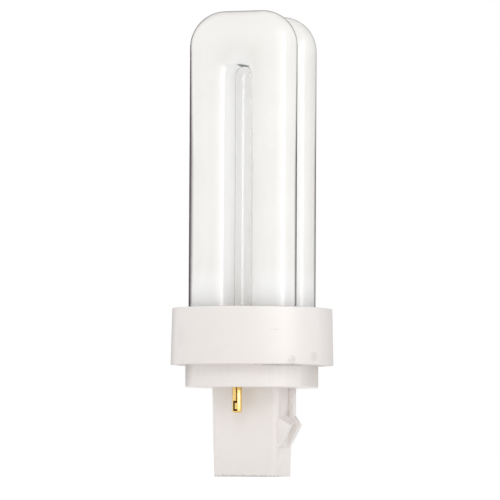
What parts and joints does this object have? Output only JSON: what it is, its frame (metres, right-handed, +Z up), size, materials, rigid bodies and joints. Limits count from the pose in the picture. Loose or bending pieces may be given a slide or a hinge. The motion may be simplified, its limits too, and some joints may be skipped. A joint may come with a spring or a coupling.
{
  "type": "compact fluorescent lamp",
  "caption": "Plug-in compact fluorescent lamp with paired U-shaped white glass tubes standing in a round white collar above a plug post with brass contact pins.",
  "frame": {"origin": "on the axis of the collar and of the tube group, in the end face of the plug post, which is the bottom of the lamp", "axes": "+Z up along the tubes, X along the wide side of the post and of each U, with the latch at +X, and -Y towards the front U"},
  "size_m": [0.0398, 0.0414, 0.118],
  "materials": {
    "coated_glass": "clear gloss over a white inner coating",
    "collar_plastic": "satin moulded white",
    "base_plastic": "satin moulded white",
    "pin_brass": "bright rolled",
    "starter_glass": "clear gloss",
    "capacitor_coat": "dipped gloss",
    "tinned_wire": "tinned",
    "cement": "dry matt"
  },
  "bodies": {
    "root": {"glass_tube": "coated_glass", "collar": "collar_plastic", "base": "base_plastic", "contact_pin_front": "pin_brass", "contact_pin_back": "pin_brass", "starter_bulb": "starter_glass", "starter_capacitor": "capacitor_coat", "cathode_lead_pin_front": "tinned_wire", "cathode_lead_pin_back": "tinned_wire", "cathode_lead_starter_front": "tinned_wire", "cathode_lead_starter_back": "tinned_wire", "starter_lead_front": "tinned_wire", "starter_lead_back": "tinned_wire", "capacitor_lead_front": "tinned_wire", "capacitor_lead_back": "tinned_wire", "cement_front_left": "cement", "cement_front_right": "cement", "cement_back_left": "cement", "cement_back_right": "cement"}
  },
  "joints": []
}
